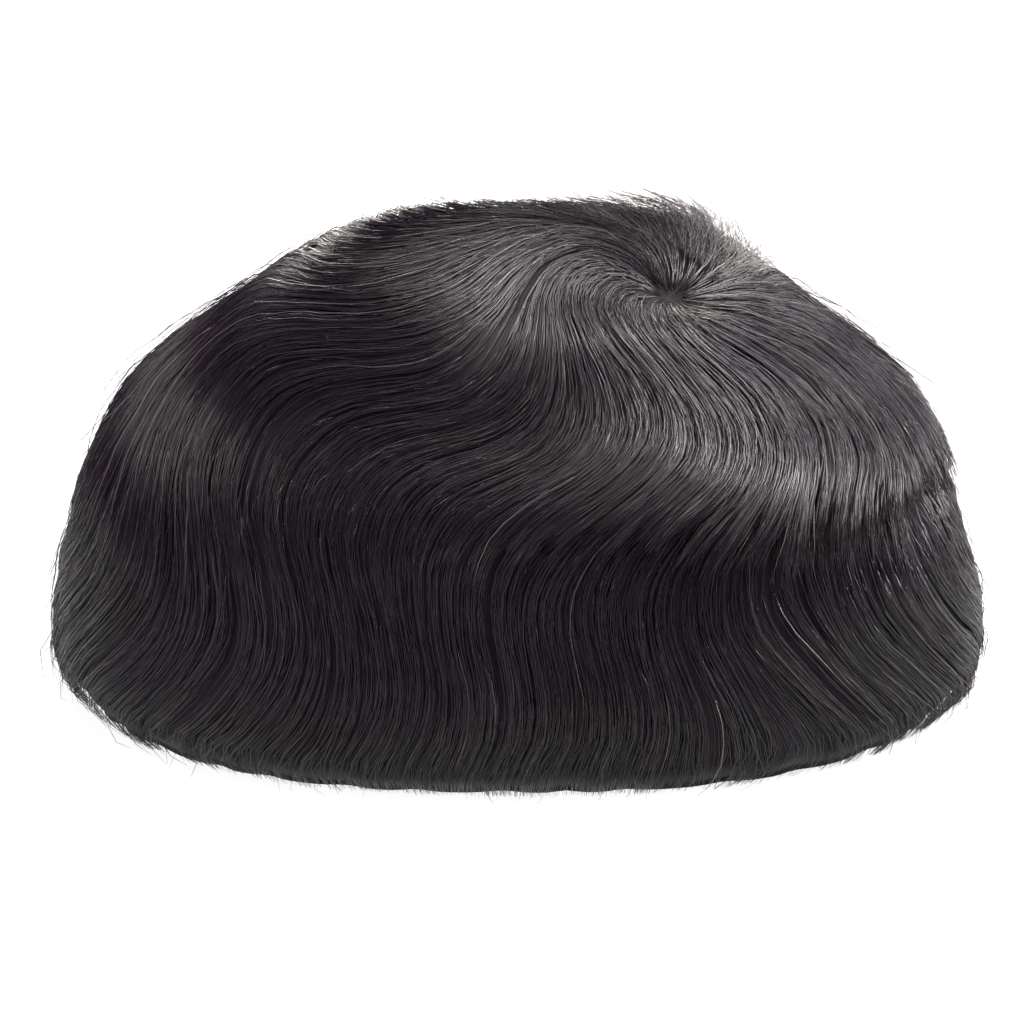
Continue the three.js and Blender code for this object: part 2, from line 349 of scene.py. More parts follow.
PATH_ANGLES = np.radians(np.arange(0, 361, 2))


def slant_at(stands, share):
    """How far the hair slants from straight down at a place of the dome, in radians."""
    degrees = np.degrees(stands) % 360
    columns = [np.interp(degrees, WAVES[:, 0], column, period=360) for column in WAVES[:, 1:].T]
    turns = [0 * degrees, *columns[:3], columns[2] + LAST_WAVE]
    slants = [*columns[3:], LAST_SLANT + 0 * degrees]
    distance = distance_along(stands, share) + TURN_DRIFT * drifting(stands, 5, 11, 17, 23)
    total = 0
    for begin, end, slant in zip(turns, turns[1:], slants):
        part = (distance - begin) / (end - begin)
        total = total + np.where((part > 0) & (part < 1), slant * np.sin(math.pi * part), 0)
    return np.radians(total) * np.minimum(1, distance / CALM_WHORL)


def path_rate(stands, share):
    """How fast a strand goes round the head as its share grows."""
    near = 1e-4
    place = dome_point(stands, share)
    down = (dome_point(stands, share + near) - place) / near
    round_head = (dome_point(stands + near, share) - place) / near
    steep = (round_head * down).sum(-1, keepdims=True) / (down * down).sum(-1, keepdims=True)
    sideways = length_of(round_head - down * steep)
    return np.tan(slant_at(stands, share)) * (length_of(down) / sideways)[..., 0]


def traced(stands, share, end_share):
    """Angles of the strands in equal steps from share to end_share."""
    path = [stands]
    step = (end_share - share) / PATH_STEPS
    for _ in range(PATH_STEPS):
        middle = stands + path_rate(stands, share) * step / 2
        stands = stands + path_rate(middle, share + step / 2) * step
        share = share + step
        path.append(stands)
    return np.stack(path, axis=-1)


def make_paths():
    """Turn of each strand against its angle at the ledge: first to the whorl, then to the table."""
    ledge = np.interp(PATH_ANGLES, LEDGE_ANGLES, LEDGE_SHARES)
    start = swayed(PATH_ANGLES, ledge)
    up = traced(start, ledge, 0.008 * ledge)
    down = traced(start, ledge, np.ones(ledge.shape))
    return np.hstack([up[:, ::-1], down[:, 1:]]) - PATH_ANGLES[:, None]


PATHS = make_paths()


def turned(angle, share):
    """How far a strand has turned round the head, against its angle at the ledge."""
    angle, share = np.broadcast_arrays(angle, share)
    ledge = np.interp(angle % (2 * math.pi), LEDGE_ANGLES, LEDGE_SHARES)
    part = np.where(share < ledge, share / ledge, 1 + (share - ledge) / (1 - ledge))
    along = np.clip(part, 0, 2) * PATH_STEPS
    across = (np.degrees(angle) % 360) / 2
    i = np.minimum(across.astype(int), len(PATH_ANGLES) - 2)
    j = np.minimum(along.astype(int), 2 * PATH_STEPS - 1)
    u, v = across - i, along - j
    near = PATHS[i, j] * (1 - v) + PATHS[i, j + 1] * v
    far = PATHS[i + 1, j] * (1 - v) + PATHS[i + 1, j + 1] * v
    return near * (1 - u) + far * u


def angle_at_ledge(stands, share):
    """The angle at the ledge of the strand that passes a place."""
    angle = stands
    for _ in range(8):
        angle = stands - turned(angle, share)
    return angle


# %% [markdown]
# ## Node trees as expressions
#
# Both materials and Geometry Nodes do sums on values that change from point to point. Written as
# Python expressions these stay readable: a small class wraps a socket, and each operator adds the
# Math node that works it out. Every other node comes from one method.

# %% Expressions on sockets
class Field:
    """A socket that can be used in an expression."""

    def __init__(self, tree, socket):
        self.tree = tree
        self.socket = socket

    def __add__(self, other):
        return self.tree.math("ADD", self, other)

    def __radd__(self, other):
        return self.tree.math("ADD", other, self)

    def __sub__(self, other):
        return self.tree.math("SUBTRACT", self, other)

    def __rsub__(self, other):
        return self.tree.math("SUBTRACT", other, self)

    def __mul__(self, other):
        return self.tree.math("MULTIPLY", self, other)

    __rmul__ = __mul__

    def __truediv__(self, other):
        return self.tree.math("DIVIDE", self, other)

    def __pow__(self, power):
        return self.tree.math("POWER", self, power)


class NodeTree:
    """A node tree of a material or of Geometry Nodes."""

    def __init__(self, tree):
        self.tree = tree

    def node(self, kind, settings=(), inputs=(), output=0):
        """Adds a node and returns one of its outputs. Sockets go by number, identifier or name."""
        new = self.tree.nodes.new(kind)
        for name, value in dict(settings).items():
            setattr(new, name, value)
        for key, value in dict(inputs).items():
            socket = self.found(new.inputs, key)
            if isinstance(value, Field):
                self.tree.links.new(value.socket, socket)
            else:
                socket.default_value = value
        return Field(self, self.found(new.outputs, output))

    def found(self, sockets, key):
        if isinstance(key, int):
            return sockets[key]
        named = [s for s in sockets if s.identifier == key] or [s for s in sockets if s.name == key]
        return named[0]

    def math(self, operation, first, second):
        vectors = [v for v in (first, second) if self.is_vector(v)]
        if not vectors:
            return self.node("ShaderNodeMath", {"operation": operation}, {0: first, 1: second})
        if len(vectors) == 1:
            number = second if vectors[0] is first else first
            scale = {"operation": "SCALE"}
            return self.node("ShaderNodeVectorMath", scale, {0: vectors[0], "Scale": number})
        return self.node("ShaderNodeVectorMath", {"operation": operation}, {0: first, 1: second})

    def is_vector(self, value):
        if isinstance(value, Field):
            return value.socket.type in ("VECTOR", "RGBA")
        return isinstance(value, tuple)

    def mapped(self, value, low, high, to_low=0.0, to_high=1.0):
        """value from low to high, taken to the range from to_low to to_high, and held there."""
        settings = {"clamp": True, "interpolation_type": "SMOOTHSTEP"}
        inputs = {"Value": value, "From Min": low, "From Max": high}
        return self.node(
            "ShaderNodeMapRange", settings, {**inputs, "To Min": to_low, "To Max": to_high}
        )

    def noise(self, place, scale, detail=2.0, output=0, roughness=0.5):
        inputs = {"Vector": place, "Scale": scale, "Detail": detail, "Roughness": roughness}
        return self.node("ShaderNodeTexNoise", (), inputs, output)


# %% [markdown]
# ## Camera, table and light
#
# The camera looks at the wearer's left side from 24 degrees above the table with a long lens. The
# table and the light around are white, so that the dark hair stands alone. A large soft light
# above the camera's side draws the bright bands on the swells of the hair.

# %% Camera
VIEW_ELEVATION = math.radians(24)
CAMERA_DISTANCE = 1.2
LENS = 160.4
LOOK_LEVEL = 0.05
AIM_FORWARD = 0.0016
AIM_DOWN = 0.0106

back = Vector((math.cos(VIEW_ELEVATION), 0, math.sin(VIEW_ELEVATION)))
camera_up = Vector((-math.sin(VIEW_ELEVATION), 0, math.cos(VIEW_ELEVATION)))
aim = Vector((0, -AIM_FORWARD, LOOK_LEVEL)) - camera_up * AIM_DOWN
camera = bpy.data.objects.new("camera", bpy.data.cameras.new("camera"))
camera.data.lens = LENS
camera.location = aim + back * CAMERA_DISTANCE
camera.rotation_euler = back.to_track_quat("Z", "Y").to_euler()
bpy.context.scene.collection.objects.link(camera)
bpy.context.scene.camera = camera
print("camera at", [round(c, 3) for c in camera.location])

# %% Table
TABLE_SIZE = 8.0
TABLE_GAP = 0.0002
TABLE_GLOW = (0.95, 0.94, 0.95, 1)


def make_table():
    mesh = bpy.data.meshes.new("table")
    s = TABLE_SIZE / 2
    corners = [(-s, -s, -TABLE_GAP), (s, -s, -TABLE_GAP), (s, s, -TABLE_GAP), (-s, s, -TABLE_GAP)]
    mesh.from_pydata(corners, [], [(0, 1, 2, 3)])
    material = bpy.data.materials.new("white_table")
    material.use_nodes = True
    shader = material.node_tree.nodes["Principled BSDF"]
    shader.inputs["Base Color"].default_value = (0.2, 0.2, 0.2, 1)
    shader.inputs["Roughness"].default_value = 0.9
    shader.inputs["Specular IOR Level"].default_value = 0.0
    shader.inputs["Emission Color"].default_value = TABLE_GLOW
    shader.inputs["Emission Strength"].default_value = 1.0
    mesh.materials.append(material)
    table = bpy.data.objects.new("table", mesh)
    bpy.context.scene.collection.objects.link(table)


make_table()

# %% Lights
AROUND_STRENGTH = 0.48
AROUND_COLOUR = (1.0, 0.68, 1.2, 1)
WARM = (1.0, 0.95, 0.84)
PALE = (1.0, 0.97, 0.97)
LIGHT_COLUMNS = ("name", "azimuth", "elevation", "distance", "size", "watts", "colour")
SOFT_LIGHTS = [
    ("key_light", 110, 60, 1.1, 0.40, 16, PALE),
    ("side_light", 108, 22, 1.1, 0.40, 16, PALE),
    ("fill_light", 45, 50, 1.1, 0.40, 3, PALE),
    ("top_light", -20, 84, 1.1, 0.40, 6, WARM),
    ("back_light", 168, 50, 1.1, 0.40, 3, PALE),
    ("rim_light", -170, 22, 1.1, 0.85, 34, WARM),
]


def make_light(name, azimuth, elevation, distance, size, watts, colour):
    """A square soft light that faces the hair. Azimuth is counted from +X towards +Y."""
    light = bpy.data.lights.new(name, "AREA")
    light.size = size
    light.energy = watts
    light.color = colour
    turn, tilt = math.radians(azimuth), math.radians(elevation)
    flat = math.cos(tilt)
    towards = Vector((flat * math.cos(turn), flat * math.sin(turn), math.sin(tilt)))
    placed = bpy.data.objects.new(name, light)
    placed.location = Vector((0, 0, LOOK_LEVEL)) + towards * distance
    placed.rotation_euler = towards.to_track_quat("Z", "Y").to_euler()
    bpy.context.scene.collection.objects.link(placed)


for row in SOFT_LIGHTS:
    make_light(**dict(zip(LIGHT_COLUMNS, row)))

world = bpy.data.worlds.new("white_around")
world.use_nodes = True
world.node_tree.nodes["Background"].inputs["Color"].default_value = AROUND_COLOUR
world.node_tree.nodes["Background"].inputs["Strength"].default_value = AROUND_STRENGTH
bpy.context.scene.world = world
bpy.context.scene.view_settings.view_transform = "Standard"

# %% [markdown]
# ## Hair colour and gloss
#
# The hair is a brown so dark that it looks black, a little purple in the shade, with a warmer
# tint here and there. Hair is not one even colour, so each strand gets a shade of its own. The
# body under the strands shows only in the gaps, as fine dark streaks that run with the flow.

# %% Hair materials
DEEPEST_HAIR = (0.0030, 0.0022, 0.0040, 1)
LIGHTEST_HAIR = (0.0160, 0.0130, 0.0128, 1)
WARM_HAIR = (0.0150, 0.0112, 0.0068, 1)
HAIR_GLOSS = 0.7
BODY_GLOSS = 0.25
TINT_SCALE = 28
STREAK_SCALE = 1500


def new_material(name):
    material = bpy.data.materials.new(name)
    material.use_nodes = True
    return material, NodeTree(material.node_tree), material.node_tree.nodes["Principled BSDF"]


def feed(tree, shader, **links):
    for name, value in links.items():
        tree.tree.links.new(value.socket, shader.inputs[name.replace("_", " ")])


def mixed(tree, factor, first, second):
    """Two colours mixed, each a colour or a socket."""
    inputs = {"Factor_Float": factor, "A_Color": first, "B_Color": second}
    return tree.node("ShaderNodeMix", {"data_type": "RGBA"}, inputs, "Result_Color")


def tinted(tree, shade):
    """Hair colour from a shade between 0 and 1, warmer in patches."""
    place = tree.node("ShaderNodeTexCoord", output="Object")
    patches = tree.mapped(tree.noise(place, TINT_SCALE, 3.0), 0.45, 0.7)
    light = mixed(tree, patches, LIGHTEST_HAIR, WARM_HAIR)
    return mixed(tree, shade, DEEPEST_HAIR, light)


def make_strand_material():
    material, tree, shader = new_material("hair_strands")
    shade = tree.node("ShaderNodeAttribute", {"attribute_name": "shade"}, output="Fac")
    feed(tree, shader, Base_Color=tinted(tree, shade), Roughness=0.42 - shade * 0.14)
    shader.inputs["Specular IOR Level"].default_value = HAIR_GLOSS
    return material


def make_body_material():
    material, tree, shader = new_material("hair_body")
    flow = tree.node("ShaderNodeAttribute", {"attribute_name": "flow"}, output="Vector")
    streaks = tree.noise(flow, STREAK_SCALE, 3.0, roughness=0.6)
    shade = tree.mapped(streaks, 0.35, 0.8) * 0.3
    bumped = tree.node("ShaderNodeBump", (), {"Distance": 0.0004, "Height": streaks})
    feed(tree, shader, Base_Color=tinted(tree, shade), Normal=bumped)
    shader.inputs["Roughness"].default_value = 0.6
    shader.inputs["Specular IOR Level"].default_value = BODY_GLOSS
    return material


strand_material = make_strand_material()
body_material = make_body_material()

# %% [markdown]
# ## The mass of hair
#
# A real hairpiece has tens of thousands of hairs, and only the outer ones are seen. The rest is
# one dark mass, so a closed body stands for it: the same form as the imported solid, with rounder
# locks, and a little smaller so that the strands have room to lie on it.

# %% Closed bodies from grids of points
BODY_SINK = 0.0013  # the body lies this far under the hair's outside
FOOT_SINK = 0.0015  # and this much further at the table
FOOT_LEVEL = 0.012
COLUMNS_PER_LOCK = 8
FLOW_STRETCH = 0.035  # streaks run along the hair, so the flow counts little that way


def flow_of(angle, share):
    """A place in the flow that is seamless round the head. Streaks follow it."""
    angle, share = np.broadcast_arrays(angle, share)
    along = distance_along(angle, share) * FLOW_STRETCH
    return np.stack([MEAN_RADIUS * np.cos(angle), MEAN_RADIUS * np.sin(angle), along], axis=-1)


def grid_quads(columns, rows, closed_columns, closed_rows):
    """Faces between the points of a grid. Point (i, j) has the number i * rows + j."""
    i = np.arange(columns if closed_columns else columns - 1)[:, None]
    j = np.arange(rows if closed_rows else rows - 1)[None, :]
    here, right = i * rows, (i + 1) % columns * rows
    low, high = j, (j + 1) % rows
    quads = np.stack([here + low, here + high, right + high, right + low], axis=-1)
    return quads.reshape(-1, 4).tolist()


def closed_mesh(name, points, faces, flow, material):
    """A closed piece at the origin with welded poles, facing out, and its place in the flow."""
    mesh = bpy.data.meshes.new(name)
    mesh.from_pydata(points.reshape(-1, 3).tolist(), [], faces)
    places = mesh.attributes.new("flow", "FLOAT_VECTOR", "POINT")
    places.data.foreach_set("vector", flow.astype(np.float32).ravel())
    shape = bmesh.new()
    shape.from_mesh(mesh)
    bmesh.ops.remove_doubles(shape, verts=shape.verts, dist=1e-6)
    bmesh.ops.recalc_face_normals(shape, faces=shape.faces)
    shape.to_mesh(mesh)
    shape.free()
    mesh.shade_smooth()
    mesh.materials.append(material)
    piece = bpy.data.objects.new(name, mesh)
    bpy.context.scene.collection.objects.link(piece)
    return piece


def joined(piece, slot, *nodes):
    """Makes the piece part of the hairpiece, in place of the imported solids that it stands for."""
    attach(piece, "root")
    if nodes:
        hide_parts(*nodes)
    count = sum(len(face.vertices) - 2 for face in piece.data.polygons)
    print(piece.name, "has", count, "triangles")


# %% Body of the crown hair
CROWN_BODY_ROWS = 34
BODY_SHORT = 0.08  # the body ends this share before the tips of the strands
BODY_LAP = 0.08  # and this share after the ledge where strands hang over it
BODY_FLARE = 0.6  # it stands out at the ledge by this share of what the strands do


def make_crown_body():
    lock = np.arange(LOCKS * COLUMNS_PER_LOCK)[:, None] / COLUMNS_PER_LOCK
    angle = angle_of(lock)
    seen = ledge_seen(angle)
    part = 1 + BODY_LAP - (BODY_LAP + BODY_SHORT) * seen
    tip = ledge_share(lock) * part
    down = np.linspace(0, 1, CROWN_BODY_ROWS)[None, :]
    share = tip * down
    tip_depth = LEDGE_THICKNESS - LEDGE_EDGE * (1 - valley_at(lock) / 2) / 2
    thinning = np.clip((down - 0.72) / 0.28, 0, 1) ** 1.5 * np.maximum(seen, 0.5)
    depth = lock_depth(lock, share) * (1 - thinning) + tip_depth * thinning
    depth = depth + BODY_SINK - BODY_FLARE * flare_at(angle, part * down)
    outside = surface_point(angle + turned(angle, share), share, depth)
    lapped = np.hstack([tip, lap_share(lock)])
    under_depth = LEDGE_THICKNESS - BODY_FLARE * flare_at(angle, lapped / ledge_share(lock))
    under = surface_point(angle + turned(angle, lapped), lapped, under_depth)
    lap = under[:, -1:]
    level = np.linspace(0, 1, 12)[None, :, None] * (BASE_TOP + CLEARANCE - lap[..., 2:]) + lap[..., 2:]
    around = np.arctan2(lap[..., 1:2] / BASE_HALF[1], lap[..., 0:1] / BASE_HALF[0])
    inside = base_point(around[..., 0], level[..., 0], CLEARANCE)
    points = np.concatenate([outside, under, inside], axis=1)
    columns, rows = points.shape[:2]
    reach = np.hstack([share, np.broadcast_to(tip, (columns, rows - CROWN_BODY_ROWS))])
    faces = grid_quads(columns, rows, True, False)
    return closed_mesh("crown_hair_body", points, faces, flow_of(angle, reach), body_material)


joined(make_crown_body(), "hair", "crown_hair")

# %% Bodies of the four curtains
CURTAIN_ROWS = 34


def curtain_inside(outside):
    """The inner side of a curtain: along the base down to its rim, then to the foot."""
    around = np.arctan2(outside[..., 1] / BASE_HALF[1], outside[..., 0] / BASE_HALF[0])
    foot = outside[:, -1:]
    foot = foot - unit(foot * (1, 1, 0)) * TIP_THICKNESS
    rim = base_point(around, np.full(around.shape, BASE_RIM_LEVEL), CLEARANCE)
    on_base = base_point(around, outside[..., 2], CLEARANCE)
    share = np.clip(outside[..., 2:] / BASE_RIM_LEVEL, 0, 1)
    below = foot + (rim - foot) * share
    below[..., 2] = outside[..., 2]
    return np.where(outside[..., 2:] > BASE_RIM_LEVEL, on_base, below)


def make_curtain_body(name, first, last):
    count = (last - first) * COLUMNS_PER_LOCK + 1
    lock = np.linspace(first, last, count)[:, None]
    gap = 0.003
    lock[0] += gap
    lock[-1] -= gap
    reach = np.linspace(-1, 2, CURTAIN_ROWS)[None, :]
    outside = curtain_line(lock, reach)
    outside -= unit((outside - CENTRE) * (1, 1, 0.5)) * BODY_SINK * (outside[..., 2:] > 0)
    foot = np.clip(1 - outside[..., 2:] / FOOT_LEVEL, 0, 1)
    outside -= unit(outside * (1, 1, 0)) * FOOT_SINK * foot
    inside = curtain_inside(outside)[:, ::-1]
    points = np.concatenate([outside, inside], axis=1)
    rows = 2 * CURTAIN_ROWS
    faces = grid_quads(count, rows, False, True)
    for start in (0, (count - 1) * rows):
        for j in range(CURTAIN_ROWS - 1):
            faces.append([start + k for k in (j, j + 1, rows - 2 - j, rows - 1 - j)])
    share = curtain_share(lock, reach)
    flow = flow_of(angle_at_ledge(swayed(angle_of(lock), share), share), share)
    flow = np.concatenate([flow, flow[:, ::-1]], axis=1)
    return closed_mesh(name, points, faces, flow, body_material)


for name, first, last in zip(SECTION_NAMES, SECTION_LOCKS, SECTION_LOCKS[1:]):
    joined(make_curtain_body(name + "_body", first, last), "hair", name)

# %% [markdown]
# ## The base
#
# The base is the thin net that the hair is knotted into. From outside the hair hides it, and from
# below it shows as a fine dark mesh with a knot at each crossing and a smooth band round the rim,
# where the tape or glue goes. The mesh is far too fine to model, so it is a bump in the material.

# %% Base net
NET_COLUMNS = 144
NET_ROWS = 26
NET_PITCH = 0.0016
RIM_BAND = 0.012


def make_net_material():
    material, tree, shader = new_material("base_net")
    place = tree.node("ShaderNodeTexCoord", output="Object")
    cells = tree.node(
        "ShaderNodeTexVoronoi",
        {"feature": "DISTANCE_TO_EDGE"},
        {"Vector": place, "Scale": 1 / NET_PITCH, "Randomness": 0.35},
        "Distance",
    )
    thread = tree.mapped(cells, 0.04, 0.2, 1.0, 0.0)
    level = tree.node("ShaderNodeSeparateXYZ", (), {"Vector": place}, "Z")
    band = tree.mapped(level, BASE_RIM_LEVEL + RIM_BAND, BASE_RIM_LEVEL + RIM_BAND + 0.001, 1.0, 0.0)
    mesh = thread * (1 - band)
    colour = mixed(tree, mesh, (0.020, 0.015, 0.013, 1), (0.050, 0.036, 0.029, 1))
    height = mesh + band * 1.4
    bumped = tree.node("ShaderNodeBump", (), {"Distance": 0.0003, "Height": height})
    feed(tree, shader, Base_Color=colour, Normal=bumped, Roughness=0.8 - band * 0.35)
    return material


def make_base_net():
    angle = np.linspace(0, 2 * math.pi, NET_COLUMNS, endpoint=False)[:, None]
    rows = np.linspace(1, 0, NET_ROWS)[None, :] ** 0.7
    level = BASE_TOP - (BASE_TOP - BASE_RIM_LEVEL) * (1 - rows)
    outside = base_point(angle, level, 0.0)
    inner_top = BASE_TOP - BASE_WALL
    inner_level = inner_top - (inner_top - BASE_RIM_LEVEL) * (1 - rows)
    inside = base_point(angle, inner_level, -BASE_WALL)[:, ::-1]
    points = np.concatenate([outside, inside], axis=1)
    faces = grid_quads(NET_COLUMNS, 2 * NET_ROWS, True, False)
    return closed_mesh("base_net", points, faces, points, make_net_material())


joined(make_base_net(), "base_net", "base_cap")

# %% [markdown]
# ## Strands
#
# Strands follow guides. A guide is a line down the middle of a wisp, a few millimetres of hair
# that keeps together, and it knows how wide its wisp is and how deep its strands may lie. A
# Geometry Nodes tree copies each guide many times, moves every copy to a place of its own in the
# wisp, cuts it to length, bends it a little and gives it a thin body. Nodes suit this because the
# same few steps repeat thousands of times, and one number changes them all.

# %% Tree that turns guides into strands
STRAND_INPUTS = [
    ("Geometry", "NodeSocketGeometry"),
    ("Strands per guide", "NodeSocketInt"),
    ("Strand width", "NodeSocketFloat"),
    ("Step", "NodeSocketFloat"),
    ("Rise", "NodeSocketFloat"),
    ("Latest start", "NodeSocketFloat"),
    ("Shortest", "NodeSocketFloat"),
    ("Root depth", "NodeSocketFloat"),
    ("Tip lift", "NodeSocketFloat"),
    ("Drift", "NodeSocketFloat"),
    ("Frizz", "NodeSocketFloat"),
    ("Seed", "NodeSocketInt"),
    ("Material", "NodeSocketMaterial"),
]
WOBBLE_SIZE = 0.0009
WOBBLE_SCALE = 55
RIDGE_SIZE = 0.0005
RIDGE_SCALE = 420
FRIZZ_SCALE = 60
ROOT_RUN = 0.007
STRAND_LOWEST = 0.0003


def new_group(name, inputs):
    """An empty Geometry Nodes tree, and its named inputs as fields."""
    group = bpy.data.node_groups.new(name, "GeometryNodeTree")
    for label, kind in inputs:
        group.interface.new_socket(label, in_out="INPUT", socket_type=kind)
    group.interface.new_socket("Geometry", in_out="OUTPUT", socket_type="NodeSocketGeometry")
    tree = NodeTree(group)
    entry = group.nodes.new("NodeGroupInput")
    values = {label: Field(tree, entry.outputs[label]) for label, kind in inputs}
    return group, tree, values


def random_value(tree, seed, low=0.0, high=1.0):
    """One random number for each strand."""
    inputs = {"Min_001": low, "Max_001": high, "Seed": seed}
    return tree.node("FunctionNodeRandomValue", {"data_type": "FLOAT"}, inputs, "Value_001")


def kept(tree, geometry, name, value):
    """Keeps a number with each strand, so that later steps find it."""
    settings = {"data_type": "FLOAT", "domain": "CURVE"}
    inputs = {"Geometry": geometry, "Name": name, "Value": value}
    return tree.node("GeometryNodeStoreNamedAttribute", settings, inputs)


def read(tree, name, kind="FLOAT"):
    return tree.node("GeometryNodeInputNamedAttribute", {"data_type": kind}, {"Name": name})


def moved(tree, geometry, offset):
    return tree.node("GeometryNodeSetPosition", (), {"Geometry": geometry, "Offset": offset})


def spread_over_wisps(tree, strands, values):
    """Moves each copy of a guide to its own place in the wisp."""
    along = read(tree, "along")
    across = read(tree, "across", "FLOAT_VECTOR")
    outward = read(tree, "outward", "FLOAT_VECTOR")
    flow = read(tree, "flow", "FLOAT_VECTOR")
    pick = read(tree, "pick") + read(tree, "drift") * (along - 0.4)
    height = read(tree, "height")
    deep = read(tree, "room") * (height - 1)
    ridge = tree.noise(flow + read(tree, "flow_across", "FLOAT_VECTOR") * pick, RIDGE_SCALE)
    rise = deep + values["Rise"] * height + (ridge - 0.5) * (2 * RIDGE_SIZE)
    return moved(tree, strands, across * pick + outward * rise)


def bent(tree, strands, values):
    """Bends strands together by a soft noise, and each by a noise of its own."""
    place = tree.node("GeometryNodeInputPosition")
    together = tree.noise(place, WOBBLE_SCALE, 1.0, "Color") - (0.5, 0.5, 0.5)
    apart = tree.node("ShaderNodeCombineXYZ", (), {0: read(tree, "own") * 9.0})
    alone = tree.noise(place + apart, FRIZZ_SCALE, 1.0, "Color") - (0.5, 0.5, 0.5)
    return moved(tree, strands, together * (2 * WOBBLE_SIZE) + alone * (2 * values["Frizz"]))


def rooted(tree, strands, values):
    """Sinks the first millimetres of each strand, so that it comes out of the hair below, and
    lifts the tips of some."""
    run = tree.node("GeometryNodeSplineParameter", output="Length")
    share = tree.node("GeometryNodeSplineParameter", output="Factor")
    sunk = tree.mapped(run, 0.0, ROOT_RUN, 1.0, 0.0) * values["Root depth"]
    lifted = share**3 * read(tree, "own") ** 3 * values["Tip lift"]
    return moved(tree, strands, read(tree, "outward", "FLOAT_VECTOR") * (lifted - sunk))


def on_table(tree, strands):
    """Keeps every strand above the table."""
    place = tree.node("GeometryNodeInputPosition")
    parts = tree.node("ShaderNodeSeparateXYZ", (), {0: place}, 2)
    height = tree.node("ShaderNodeMath", {"operation": "MAXIMUM"}, {0: parts, 1: STRAND_LOWEST})
    up = tree.node("ShaderNodeCombineXYZ", (), {2: height - parts})
    return moved(tree, strands, up)


def thickened(tree, strands, values):
    """Gives each strand a thin three-sided body that tapers to its tip."""
    share = tree.node("GeometryNodeSplineParameter", output="Factor")
    taper = tree.mapped(share, 0.8, 1.0, 1.0, 0.3)
    thickness = read(tree, "thick") * values["Strand width"] * taper * 0.5
    ring = tree.node(
        "GeometryNodeCurvePrimitiveCircle", {"mode": "RADIUS"}, {"Resolution": 3, "Radius": 1.0}
    )
    inputs = {"Curve": strands, "Profile Curve": ring, "Scale": thickness, "Fill Caps": True}
    return tree.node("GeometryNodeCurveToMesh", (), inputs)


def make_strand_tree():
    group, tree, values = new_group("strands_on_guides", STRAND_INPUTS)
    seed = values["Seed"]
    guides = tree.node("GeometryNodeMeshToCurve", (), {"Mesh": values["Geometry"]})
    copies = {"Geometry": guides, "Amount": values["Strands per guide"]}
    strands = tree.node("GeometryNodeDuplicateElements", {"domain": "SPLINE"}, copies)
    shade = random_value(tree, seed + 5) ** 1.6 * read(tree, "tone")
    strands = kept(tree, strands, "pick", random_value(tree, seed, -1.0, 1.0))
    strands = kept(tree, strands, "height", random_value(tree, seed + 1))
    strands = kept(tree, strands, "drift", random_value(tree, seed + 2, -1.0, 1.0) * values["Drift"])
    strands = kept(tree, strands, "own", random_value(tree, seed + 3))
    strands = kept(tree, strands, "thick", random_value(tree, seed + 4, 0.7, 1.25))
    strands = kept(tree, strands, "shade", shade)
    strands = spread_over_wisps(tree, strands, values)
    start = random_value(tree, seed + 6) * values["Latest start"]
    cut = random_value(tree, seed + 7) ** 1.5 * (1 - values["Shortest"])
    end = 1 - cut * (1 - start)
    trim = {"Curve": strands, "Start": start, "End": end}
    strands = tree.node("GeometryNodeTrimCurve", {"mode": "FACTOR"}, trim)
    resample = {"Curve": strands, "Length": values["Step"]}
    strands = tree.node("GeometryNodeResampleCurve", {"mode": "LENGTH"}, resample)
    strands = on_table(tree, bent(tree, rooted(tree, strands, values), values))
    body = thickened(tree, strands, values)
    body = tree.node("GeometryNodeSetShadeSmooth", (), {"Geometry": body})
    material = {"Geometry": body, "Material": values["Material"]}
    body = tree.node("GeometryNodeSetMaterial", (), material)
    body = tree.node("GeometryNodeRealizeInstances", (), {"Geometry": body})
    exit_node = group.nodes.new("NodeGroupOutput")
    group.links.new(body.socket, exit_node.inputs["Geometry"])
    return group


strand_tree = make_strand_tree()
print("strand tree has", len(strand_tree.nodes), "nodes")

# %% Guides as lines of points with what they know
random = np.random.default_rng(3)
GUIDE_POINTS = 28
WISPS_PER_LOCK = 4
WISP_SPREAD = 0.6  # half the width of a wisp, so neighbours overlap
WISP_TONES = (0.4, 1.6)  # some wisps are darker and some lighter
KEPT_ATTRIBUTES = ("position", "shade", "sharp_face", "material_index")


def guide_mesh(name, lines, across, room, flow, flow_across):
    """Lines of points, and at each point what the strands need to know of their wisp."""
    count, points = lines.shape[:2]
    number = np.arange(count * points).reshape(count, points)
    edges = np.stack([number[:, :-1].ravel(), number[:, 1:].ravel()], axis=-1)
    mesh = bpy.data.meshes.new(name)
    mesh.from_pydata(lines.reshape(-1, 3).tolist(), edges.tolist(), [])
    outward = unit(np.cross(across, np.gradient(lines, axis=1)))
    outward *= np.sign((outward * (lines - CENTRE)).sum(-1, keepdims=True))
    along = np.linspace(0, 1, points)[None, :]
    tone = random.uniform(*WISP_TONES, (count, 1))
    vectors = {"across": across, "outward": outward, "flow": flow, "flow_across": flow_across}
    for label, values in vectors.items():
        attribute = mesh.attributes.new(label, "FLOAT_VECTOR", "POINT")
        attribute.data.foreach_set("vector", values.astype(np.float32).ravel())
    for label, values in {"along": along, "room": room, "tone": tone}.items():
        attribute = mesh.attributes.new(label, "FLOAT", "POINT")
        spread = np.broadcast_to(values, (count, points))
        attribute.data.foreach_set("value", spread.astype(np.float32).ravel())
    return mesh


